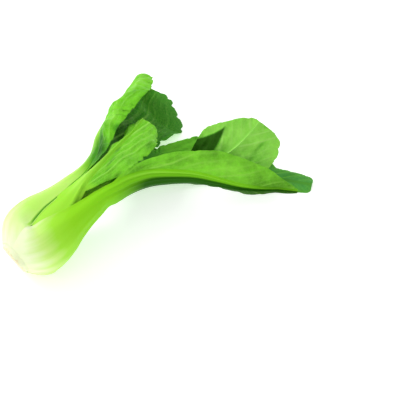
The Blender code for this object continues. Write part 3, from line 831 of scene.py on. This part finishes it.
# %% The leaf material
TISSUE_VALUES = {
    "IOR": 1.42, "Specular IOR Level": 0.18, "Specular Tint": linear("#E6FFB4"),
    "Subsurface Weight": 0.2, "Subsurface Radius": (0.6, 1.0, 0.25), "Subsurface Scale": 0.0012,
}
FIELDS = ("green", "blade", "upper", "vein", "crest", "deep", "crease_shade", "edge", "rib")
SUMS = (
    # deep is painted shade, painted light where it is negative, and crease_shade is painted shade too;
    # depth adds them to the tissue's own uneven patches and mottles.
    ("net", 0.0, (("border", "blade"),)),
    ("depth", -0.45, (("patch", 0.8), ("mottle", 0.5), ("deep", 1.0), ("crease_shade", 1.0))),
    ("greenness", -0.065, (("green", 1.0), ("streak", 0.13), ("rib", -0.12), ("deep", 0.5))),
    ("stalk_painted_shade", 0.0, (("deep", 0.9),)),
    ("rim_share", 0.15, (("upper", 0.6),)),
    ("on_rim", 0.0, (("edge", "rim_share"),)),
    ("on_vein", 0.0, (("vein", 0.55),)),
    ("painted_light_patch", 0.0, (("deep", -1.0),)),
    ("deepest_painted_shade", -1.0, (("deep", 1.0),)),
    ("on_crest", 0.0, (("crest", 0.65),)),
    ("roughness", 0.34, (("blade", 0.08), ("patch", 0.12))),
    ("relief", 0.0, (("mottle", 1.0), ("net", -3.0), ("streak", 1.2))),
)
LAYERS = (
    # The stalk is darkened by painted shade. On the blade, negative painted shade mixes in the vein's
    # light colour as painted light, and beyond 1 it mixes in the deepest colour.
    ("stalk", "stalk_painted_shade", "ramp", "under_deep"),
    ("low", "depth", "under", "under_deep"),
    ("high", "depth", "upper", "upper_deep"),
    ("blade", "upper", "low", "high"),
    ("blade", "on_rim", "blade", "rim"),
    ("blade", "net", "blade", "vein"),
    ("blade", "on_vein", "blade", "vein"),
    ("blade", "painted_light_patch", "blade", "vein"),
    ("blade", "deepest_painted_shade", "blade", "upper_deep"),
    ("whole", "blade", "stalk", "blade"),
    ("whole", "on_crest", "whole", "crest"),
)


def leaf_tissue(name):
    """The material of a leaf, from the colours of its two faces, its margin and its veins."""
    material, tree, surface = start_material(name, TISSUE_VALUES)
    value = {key: add(tree, "ShaderNodeAttribute", attribute_name=key).outputs["Fac"]
             for key in FIELDS}
    place = add(tree, "ShaderNodeTexCoord").outputs["Object"]
    net_place = add(tree, "ShaderNodeUVMap", uv_map="leaf_net").outputs["UV"]
    longer = add(tree, "ShaderNodeMapping", {"Vector": net_place, "Scale": (24.0, 1.3, 1.0)})
    # Patches about 15 mm wide, mottles about 3 mm wide, and the stalk's streaks, about 4 mm wide,
    # where the tissue is deeper in colour, so that no part of the leaf looks painted flat.
    noises = (("patch", place, 70.0, 3.0), ("mottle", place, 330.0, 3.0),
              ("streak", longer.outputs["Vector"], 1.0, 2.0))
    for key, where, scale, detail in noises:
        noise = add(tree, "ShaderNodeTexNoise", {"Vector": where, "Scale": scale, "Detail": detail})
        value[key] = noise.outputs["Fac"]
    # The finest veins, about 1.6 mm apart: the pale borders between the cells of a pattern.
    cells = add(tree, "ShaderNodeTexVoronoi", {"Vector": net_place, "Scale": 60.0},
                feature="DISTANCE_TO_EDGE")
    border = {"Value": cells.outputs["Distance"], 1: 0.0, 2: 0.12, 3: 0.15, 4: 0.0}
    value["border"] = add(tree, "ShaderNodeMapRange", border).outputs[0]
    for made, total, parts in SUMS:
        for factor, times in parts:
            links = {0: value[factor], 1: value.get(times, times), 2: total}
            total = add(tree, "ShaderNodeMath", links, operation="MULTIPLY_ADD").outputs[0]
        value[made] = total

    colour = {key: linear(code) for key, code in TISSUES[name].items() if key != "stalk"}
    ramp = add(tree, "ShaderNodeValToRGB", {"Fac": value["greenness"]})
    colour["ramp"] = set_ramp(ramp, TISSUES[name]["stalk"]).outputs["Color"]
    for made, factor, first, second in LAYERS:
        links = {"Factor": value[factor], 6: colour[first], 7: colour[second]}
        mixed = add(tree, "ShaderNodeMix", links, data_type="RGBA", clamp_factor=True)
        colour[made] = mixed.outputs[2]
    # Relief too fine for the mesh: the vein net on the blade, and mottles and streaks elsewhere.
    height = {"Strength": 0.45, "Distance": 0.0004, "Height": value["relief"]}
    bump = add(tree, "ShaderNodeBump", height)
    tree.links.new(colour["whole"], surface.inputs["Base Color"])
    tree.links.new(value["roughness"], surface.inputs["Roughness"])
    tree.links.new(bump.outputs["Normal"], surface.inputs["Normal"])
    return material


tissue = {name: leaf_tissue(name) for name in TISSUES}
print("made", ", ".join(tissue))

# %% [markdown]
# ## The numbers of the leaves
#
# Every leaf has some numbers of its own: its shell in the bulb, how its stalk narrows and where its
# blade starts, the height and length of its waves, the spacing and lean of its veins, how far it
# is puckered and crumpled, its ribs and its notches. They stand in one table, so that leaves can
# be compared. Its cell then adds where it goes. A stalk's place round the axis and its reach to
# both sides are in degrees. A station of its path is a place in mm and the way that its back faces.

# %% A row of numbers for each leaf
PLAIN_LEAF = {
    "leaves_bulb_at": NECK, "fold": 1.0, "sweep": (0.0, 0.0), "swell": 0.0, "crest": 0.0,
    "dents": (), "fold_lines": (), "greening": (-20.0, 110.0), "rim_light_and_shade": 0.0,
    "lower_shade": 0.0, "cleft_shade": 0.0,
}
NUMBERS = (
    "shell", "clasp", "stalk_taper", "blade_from", "ruffle", "ruffle_length", "vein_spacing",
    "vein_lean", "pucker", "crinkle", "ribs", "rib_height", "notch", "notch_length",
    "ruffle_start", "slim", "crest_width",
)
LEAF_TABLE = {
    "left_leaf": (0, 0.45, 1.6, 0.05, 2.0, 34.0, 22.0, 3.2, 0.45, 1.2, 6, 0.18, 0.05, 8.0, 0.6, 0.3, 0.2),
    "front_leaf": (0, 0.8, 1.5, 0.06, 1.4, 38.0, 17.0, 2.4, 0.5, 0.8, 6, 0.5, 0.02, 8.0, 0.0, 0.0, 0.08),
    "under_leaf": (0, 0.6, 2.2, 0.12, 1.0, 36.0, 13.0, 2.2, 0.4, 0.6, 5, 0.2, 0.05, 7.0, 1.0, 0.7, 0.5),
    "middle_leaf": (1, 0.0, 3.0, 0.2, 1.6, 26.0, 19.0, 4.2, 0.6, 1.2, 4, 0.25, 0.05, 6.0, 0.4, 0.55, 0.45),
    "back_leaf": (1, 0.0, 1.8, 0.5, 1.4, 28.0, 11.0, 1.0, 0.4, 1.4, 4, 0.2, 0.02, 6.5, 1.4, 0.8, 0.5),
    "side_leaf": (1, 0.0, 1.4, 0.15, 0.8, 24.0, 8.0, 1.8, 0.3, 0.3, 4, 0.15, 0.03, 6.0, 0.0, 0.3, 0.4),
    "heart_leaf": (2, 0.0, 1.0, 0.25, 0.4, 20.0, 5.0, 2.0, 0.1, 0.1, 3, 0.12, 0.02, 5.0, 0.0, 0.3, 0.4),
}
START = {name: {**PLAIN_LEAF, **dict(zip(NUMBERS, row))} for name, row in LEAF_TABLE.items()}
print("each of", len(START), "kinds of leaf starts from", len(START["left_leaf"]), "values")

# %% [markdown]
# ## The left outer leaf
#
# It leaves the bulb on the left and lies with its back to the left. Its blade is folded along the
# midrib: the near half is turned over the far half and shows its light underside, and the far half
# lies low behind it and shows its dark upper side.

# %% The left leaf
left_leaf = {
    **START["left_leaf"], "at_base": (-67.0, 59.0, 65.5), "at_neck": (-67.0, 35.0, 36.0),
    "path": (
        (-78.0, 9.3, 37.0, -0.88, 0.40, 0.00), (-72.5, 33.6, 29.0, -0.85, 0.15, -0.35),
        (-62.8, 57.7, 21.5, -0.80, 0.08, -0.52), (-53.8, 73.2, 17.5, -0.85, 0.15, -0.42),
        (-50.0, 86.0, 16.0, -0.90, 0.25, -0.25), (-45.5, 96.2, 14.5, -0.94, 0.30, -0.10),
    ),
    "blade_widths": (44.5, 33.0),
    "outline": ((2.3, 0.70, 0.20), (2.4, 0.60, 0.30)), "blunt": (37.0, 24.0), "fold": 0.8,
    "sweep": (0.4, 0.0), "bends": ((60.0, 135.0), (40.0, 110.0)),
    # The last number of each dent is shade painted in it, light where negative; the last dent, with no
    # depth, only paints shade on the far half under the near half.
    "dents": ((98, 12, 12, 7, 0.5, 1.9), (113, 9, 8, 4, 1.3, 1.3), (118, 27, 3, 4, 1.2, 1.0),
              (130, 20, 10, 4, -0.9, -0.2), (150, 27, 14, 4, 0.9, 0.3), (176, 20, 12, 6, -0.6, -0.2),
              (140, -14, 16, 12, 0.0, 0.7)),
    # The margin value paints shade along the stalk's margin that lies next to the middle leaf.
    "greening": (0.0, 100.0), "cleft_shade": 1.2,
}
add_leaf("left_leaf", left_leaf, tissue["pale_outer_leaf_tissue"])

# %% [markdown]
# ## The front leaf
#
# The largest leaf of the head. Its stalk makes the whole front of the bulb, and it arches over to
# the right, standing on its edge, so that its light underside faces the viewer.

# %% The front leaf
front_leaf = {
    **START["front_leaf"], "at_base": (67.0, 65.5, 59.0), "at_neck": (67.0, 32.0, 46.0),
    "path": (
        (-57.4, -26.0, 42.0, 0.45, -0.80, 0.40), (-46.9, -17.8, 40.5, 0.35, -0.83, 0.45),
        (-35.0, -11.2, 38.5, 0.20, -0.85, 0.50), (-19.6, -7.7, 36.0, 0.05, -0.85, 0.52),
        (-3.5, -5.8, 33.0, 0.00, -0.82, 0.57), (12.6, -6.4, 29.0, 0.05, -0.80, 0.60),
        (28.0, -6.6, 24.0, 0.10, -0.78, 0.62), (43.4, -4.8, 19.0, 0.15, -0.75, 0.64),
        (56.0, -2.0, 15.0, 0.15, -0.72, 0.66), (68.5, -0.6, 11.0, 0.15, -0.70, 0.68),
    ),
    "blade_widths": (19.0, 7.5),
    "outline": ((1.2, 0.62, 1.1), (1.3, 0.5, 0.8)), "blunt": (1.0, 1.0),
    "sweep": (0.15, 0.1), "bends": ((40.0, 105.0), (30.0, 60.0)), "crest": -0.78,
    # The last number of each dent is shade painted in it, light where negative. lower_shade paints shade
    # on the band below the crest and on the near edge of the stalk, and the rim value paints light on the
    # far rim and shade on the near one.
    "dents": ((110, -10, 9, 3, 0.6, 0.3), (192, -5, 7, 4, 0.5, 0.1), (168, -12, 10, 4, -0.6, -0.2),
              (205, -3, 14, 6, 0.3, 0.6)),
    "greening": (3.0, 90.0), "rim_light_and_shade": 0.16, "lower_shade": 1.5,
}
add_leaf("front_leaf", front_leaf, tissue["bright_outer_leaf_tissue"])

# %% [markdown]
# ## The leaf underneath
#
# The head lies on this one. Its blade is spread over the surface, upper side up, and its tip
# shows at the far right from under the front leaf.

# %% The under leaf
under_leaf = {
    **START["under_leaf"], "at_base": (180.0, 53.0, 53.0), "at_neck": (180.0, 38.0, 33.0),
    "path": (
        (-57.5, 1.5, 12.5, 0.10, 0.05, -0.99), (-40.0, 14.0, 7.0, 0.05, 0.05, -0.99),
        (-20.0, 20.0, 3.4, 0.00, 0.05, -0.99), (5.0, 24.0, 1.5, 0.00, 0.05, -0.99),
        (30.0, 23.0, 0.8, 0.00, 0.05, -0.99), (55.0, 16.5, 0.8, 0.00, 0.00, -1.00),
        (78.5, 11.5, 0.8, 0.00, 0.00, -1.00),
    ),
    "blade_widths": (4.0, 24.5),
    "outline": ((1.3, 0.85, 0.6), (0.9, 0.60, 3.8)), "blunt": (5.0, 7.0),
    "bends": ((18.0, 55.0), (-60.0, -40.0)),
    # The first dent's colour is a painted highlight, and the second's is painted shade under the back
    # leaf.
    "dents": ((153, 19.5, 14, 7, 0.5, -1.7), (176, 18, 10, 9, 0.0, 0.5)), "greening": (-4.0, 60.0),
}
add_leaf("under_leaf", under_leaf, tissue["bluish_under_leaf_tissue"])

# %% [markdown]
# ## The middle leaf
#
# It is short, lies on top between the two outer stalks and spreads its right half, so the eye
# looks onto its light, puckered tissue. Narrow dents, darkened with painted shade, make the creases
# beside its midrib.

# %% The middle leaf
middle_leaf = {
    **START["middle_leaf"], "leaves_bulb_at": 45.0,
    "at_base": (0.0, 56.0, 56.0), "at_neck": (-14.0, 34.0, 44.0),
    "path": (
        (-88.0, -24.6, 48.2, -0.20, 0.02, 0.97), (-80.0, -15.5, 50.8, -0.20, 0.08, 0.97),
        (-70.4, -3.8, 50.5, -0.12, 0.20, 0.96), (-62.0, 8.8, 47.5, -0.05, 0.30, 0.94),
        (-53.5, 21.5, 43.5, -0.03, 0.35, 0.93), (-46.0, 33.5, 39.0, 0.00, 0.35, 0.93),
        (-40.0, 45.5, 35.5, 0.05, 0.35, 0.93),
    ),
    "blade_widths": (7.0, 20.0),
    "outline": ((1.5, 0.75, 0.45), (1.0, 0.62, 0.25)), "blunt": (4.0, 13.0),
    "sweep": (0.0, 0.1), "bends": ((50.0, 30.0), (50.0, 40.0)), "swell": 1.5,
    "dents": ((104, 2.5, 4, 0.9, 0.8, 1.2), (92, 5, 5, 0.9, 0.8, 1.2), (83, 8, 4, 0.9, 0.6, 0.9),
              (86, -3, 12, 3, 0.4, 0.5), (121, 18, 4, 3, 1.0, 0.4)),
    "greening": (-20.0, 130.0), "cleft_shade": -0.9,
}
add_leaf("middle_leaf", middle_leaf, tissue["young_leaf_tissue"])

# %% [markdown]
# ## The back leaf
#
# A round blade that stands behind the front leaf. One lobe of it seems folded over, showing its dark
# upper side: the fold is marked off by two lines, beyond which the sheet stands up a little and is
# darkened with painted shade, because a bend of the whole section would change the outline too.

# %% The back leaf
back_leaf = {
    **START["back_leaf"], "at_base": (120.0, 56.0, 56.0), "at_neck": (92.0, 40.0, 40.0),
    "path": (
        (-58.5, -17.5, 34.5, 0.50, -0.80, 0.20), (-45.0, -6.5, 31.5, 0.35, -0.80, 0.40),
        (-28.0, 0.5, 29.5, 0.20, -0.80, 0.50), (-8.0, 6.0, 29.5, 0.15, -0.75, 0.60),
        (10.0, 11.5, 31.5, 0.20, -0.65, 0.70), (23.0, 19.0, 34.0, 0.25, -0.55, 0.78),
        (33.5, 30.0, 36.0, 0.25, -0.50, 0.80), (42.0, 41.5, 37.0, 0.25, -0.45, 0.82),
    ),
    "blade_widths": (21.0, 25.5),
    "outline": ((1.0, 0.45, 0.8), (1.2, 0.62, 0.24)), "blunt": (6.0, 19.0),
    "sweep": (0.0, 0.3), "bends": ((20.0, 5.0), (15.0, 10.0)),
    # The last number of each dent is the shade painted in it.
    "dents": ((175, 14, 7, 1.6, 1.2, 0.4), (184, 12, 8, 1.2, 0.9, 0.4), (172, 19, 7, 1.6, 0.9, 0.3)),
    "fold_lines": (((160.0, -7.0), (179.0, -16.0)), ((179.0, -16.0), (150.0, -19.0))),
}
add_leaf("back_leaf", back_leaf, tissue["round_back_leaf_tissue"])

# %% [markdown]
# ## The hidden leaves
#
# A second leaf underneath and three small ones in the heart are mostly hidden, but they fill the
# gaps between the stalks as the real ones do. The three are one leaf, turned round the axis.

# %% The second leaf underneath, and the heart
side_leaf = {
    **START["side_leaf"], "at_base": (-120.0, 56.0, 56.0), "at_neck": (-132.0, 38.0, 38.0),
    "path": (
        (-70.7, 0.6, 27.0, -0.40, 0.50, -0.75), (-61.0, 12.0, 26.0, -0.30, 0.35, -0.88),
        (-51.0, 22.0, 23.5, -0.20, 0.25, -0.95), (-42.0, 31.0, 20.5, -0.15, 0.25, -0.95),
    ),
    "blade_widths": (7.0, 7.0), "outline": ((1.2, 0.6, 0.5), (1.2, 0.6, 0.5)), "blunt": (1.0, 1.0),
    "bends": ((30.0, 30.0), (20.0, 20.0)),
}
add_leaf("side_leaf", side_leaf, tissue["young_leaf_tissue"])

HEART_TURNS = (50.0, 170.0, 290.0)
HEART_PATH = ((66.0, 8.6), (76.0, 8.2), (85.0, 7.6), (93.0, 6.5))


def heart_leaf(turn):
    """A small leaf of the heart: its midrib keeps to a shell that narrows towards the tip."""
    angle = math.radians(turn)
    out = math.cos(angle) * UP + math.sin(angle) * RIGHT
    return {
        **START["heart_leaf"],
        "leaves_bulb_at": 56.0, "at_base": (turn, 54.0, 54.0), "at_neck": (turn, 40.0, 40.0),
        "path": [(*(CUT_CENTRE + ALONG * distance + out * radius), *out)
                 for distance, radius in HEART_PATH],
        "blade_widths": (1.2, 1.2),
        "outline": ((1.2, 0.5, 0.5), (1.2, 0.5, 0.5)), "blunt": (0.5, 0.5),
        "bends": ((34.0, 34.0), (20.0, 20.0)), "greening": (-10.0, 100.0),
    }


for count, turn in enumerate(HEART_TURNS, start=1):
    add_leaf(f"heart_leaf_{count}", heart_leaf(turn), tissue["young_leaf_tissue"])

# %% [markdown]
# ## The cut stem
#
# The knife leaves a slightly slanted, slightly hollow face on the stem, with a firm rim. Soon
# after cutting it dries: the middle stays greenish white and the rim turns to a pale tan. It is
# turned from a profile round the head's axis, with a rim that isn't quite round. Round it are the
# scars of the first leaves, as low rings.

# %% The stem base
STEM_PROFILE = ((-1.0, 0.0), (-1.1, 4.0), (-1.3, 8.0), (-1.6, 9.6), (-1.5, 10.5), (-1.0, 11.2),
                (-0.2, 11.8), (0.7, 12.6), (1.4, 13.0), (2.6, 12.4), (4.6, 11.3), (5.8, 7.7),
                (9.0, 7.3), (9.9, 4.4), (16.0, 3.6), (22.0, 1.6))
STEM_ROWS = 90
STEM_SIDES = 160
FIRST_ROW = 0.02
CUT_SLANT = math.radians(10.0)
CUT_FACING = math.radians(26.0)
CUT_EDGE = (-0.4, 1.0)
UNEVEN_END = (3.0, 4.0)
RIM_WAVES = ((0.012, 3, 0.7), (0.008, 7, 0.0), (0.004, 17, 0.0))
GRAIN_HEIGHT = 0.1
GRAIN_STEP = 2.6
RIM_RADIUS = 11.7


def stem_base(material):
    """A profile turned round the axis: radius and distance are smooth curves of the row.

    The radius is pushed in and out by a few sines of the angle, and the face of the cut leans.
    """
    distance, radius = np.transpose(STEM_PROFILE)
    keys = np.concatenate(([0.0], np.cumsum(np.hypot(np.diff(distance), np.diff(radius)))))
    places = np.linspace(FIRST_ROW, keys[-1], STEM_ROWS)
    distance, radius = smooth(keys, np.stack((distance, radius), axis=1), places).T
    angle = np.arange(STEM_SIDES) / STEM_SIDES * 2 * math.pi
    uneven = sum(height * np.sin(count * angle + start) for height, count, start in RIM_WAVES)
    held = 1 - rising(distance, *UNEVEN_END)[:, None]
    radius = radius[:, None] * (1 + uneven * held)
    slant = math.tan(CUT_SLANT) * np.cos(angle - CUT_FACING) * radius
    slant = slant * (1 - rising(distance, *CUT_EDGE))[:, None]
    grain = np.sin(radius * GRAIN_STEP + 2 * np.sin(5 * angle)) * np.sin(9 * angle + radius)
    grain = GRAIN_HEIGHT * grain * held * (distance[:, None] < 0)
    depth = distance[:, None] - slant + grain
    ring = np.cos(angle)[:, None] * UP + np.sin(angle)[:, None] * RIGHT
    points = CUT_CENTRE + depth[..., None] * ALONG + radius[..., None] * ring
    start = np.arange(STEM_ROWS * STEM_SIDES).reshape(STEM_ROWS, STEM_SIDES)
    turned = np.roll(start, -1, axis=1)
    wall = np.stack((start[:-1], turned[:-1], turned[1:], start[1:]), axis=-1).reshape(-1, 4)
    faces = wall.tolist() + [start[0][::-1].tolist(), start[-1].tolist()]
    fields = {"ring": radius / RIM_RADIUS}
    piece = add_piece("cut_stem_base", points.reshape(-1, 3), faces, fields, material)
    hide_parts("stem_base")
    return piece


print("the face of the cut leans by", round(math.degrees(CUT_SLANT)), "degrees")

# %% [markdown]
# The cut face is fresh plant tissue that has begun to dry. A ramp over the distance from its
# centre gives the pith, the ring of vessels and the tan rim, and a noise breaks the rings up.

# %% The stem material
CUT_VALUES = {
    "Roughness": 0.62, "IOR": 1.42, "Subsurface Weight": 0.2,
    "Subsurface Radius": (1.0, 0.9, 0.5), "Subsurface Scale": 0.001,
}
CUT_RINGS = ((0.0, "#EEF6CF"), (0.45, "#F5F8DC"), (0.62, "#E4EFB4"), (0.72, "#F7F5DC"),
             (0.88, "#F6EBD2"), (0.97, "#F0E3B4"), (1.0, "#EEF6CC"))


def cut_tissue():
    """The material of the cut: rings of colour round the axis, matt and slightly fibrous."""
    material, tree, surface = start_material("dried_cut_stem_tissue", CUT_VALUES)
    ring = add(tree, "ShaderNodeAttribute", attribute_name="ring").outputs["Fac"]
    place = add(tree, "ShaderNodeTexCoord").outputs["Object"]
    noise = add(tree, "ShaderNodeTexNoise", {"Vector": place, "Scale": 450.0, "Detail": 4.0})
    fibre = noise.outputs["Fac"]
    spread = ring
    for value, times in ((fibre, 0.22), (1.0, -0.11)):
        links = {0: value, 1: times, 2: spread}
        spread = add(tree, "ShaderNodeMath", links, operation="MULTIPLY_ADD").outputs[0]
    rings = set_ramp(add(tree, "ShaderNodeValToRGB", {"Fac": spread}), CUT_RINGS)
    bump = add(tree, "ShaderNodeBump", {"Strength": 0.5, "Distance": 0.0004, "Height": fibre})
    tree.links.new(rings.outputs["Color"], surface.inputs["Base Color"])
    tree.links.new(bump.outputs["Normal"], surface.inputs["Normal"])
    return material


stem = stem_base(cut_tissue())
print("the stem base has", len(stem.data.polygons), "faces")

# %% [markdown]
# ## The floor
#
# The photo has a pure white ground. Here it is matt paper that gives off a little light of its
# own, which keeps it white right up to the soft shadow where the head touches it.

# %% The floor
FLOOR_HALF = 3.0
CORNERS = ((-1, -1), (1, -1), (1, 1), (-1, 1))
PAPER_VALUES = {
    "Base Color": linear("#FCFCFC"), "Roughness": 0.9, "Emission Color": (1.0, 1.0, 1.0, 1.0),
    "Emission Strength": 0.42,
}
floor_mesh = bpy.data.meshes.new("floor")
floor_mesh.from_pydata([(FLOOR_HALF * x, FLOOR_HALF * y, 0.0) for x, y in CORNERS], [], [range(4)])
floor_mesh.materials.append(start_material("white_paper_sweep", PAPER_VALUES)[0])
floor = bpy.data.objects.new("floor", floor_mesh)
bpy.context.scene.collection.objects.link(floor)
print("the floor is", 2 * FLOOR_HALF, "m wide")

# %% [markdown]
# ## The lights
#
# The picture is bright and lit softly from the upper left. A large soft light stands there, a
# weaker one in front, and the pale surroundings fill the rest.

# %% The lights
LIGHTS = (("key_from_upper_left", (-0.75, 0.45, 0.95), 0.6, 7.0),
          ("fill_from_the_front", (0.3, -1.0, 0.9), 0.9, 1.5))
SURROUNDINGS = 0.72
for name, (x, y, z), size, power in LIGHTS:
    light = bpy.data.lights.new(name, "AREA")
    light.size = size
    light.energy = power
    lamp = bpy.data.objects.new(name, light)
    bpy.context.scene.collection.objects.link(lamp)
    lamp.location = (x, y, z)
    lamp.rotation_euler = (math.atan2(math.hypot(x, y), z), 0.0, math.atan2(-y, -x) - math.pi / 2)
    print(name, "gives", power, "W from a square of", size, "m")

world = bpy.data.worlds.new("pale_studio")
world.use_nodes = True
background = world.node_tree.nodes["Background"]
background.inputs["Color"].default_value = (1.0, 1.0, 1.0, 1.0)
background.inputs["Strength"].default_value = SURROUNDINGS
bpy.context.scene.world = world
bpy.context.scene.view_settings.view_transform = "Standard"

# %% [markdown]
# ## The camera
#
# It looks down by 55 degrees through a long lens from far away, so that the head keeps its
# proportions and near leaves don't look larger than far ones.

# %% The camera
VIEW_DOWN = math.radians(55.0)
VIEW_WIDTH = 0.280
LENS = 500.0
SENSOR = 36.0
camera_data = bpy.data.cameras.new("camera")
camera_data.lens = LENS
camera_data.sensor_width = SENSOR
camera = bpy.data.objects.new("camera", camera_data)
bpy.context.scene.collection.objects.link(camera)
away = VIEW_WIDTH * LENS / SENSOR
looks_back = np.array((0.0, -math.cos(VIEW_DOWN), math.sin(VIEW_DOWN)))
camera.location = away * looks_back - MIDDLE * MM
camera.rotation_euler = (math.pi / 2 - VIEW_DOWN, 0.0, 0.0)
bpy.context.scene.camera = camera
print("the camera stands", round(away, 2), "m away")
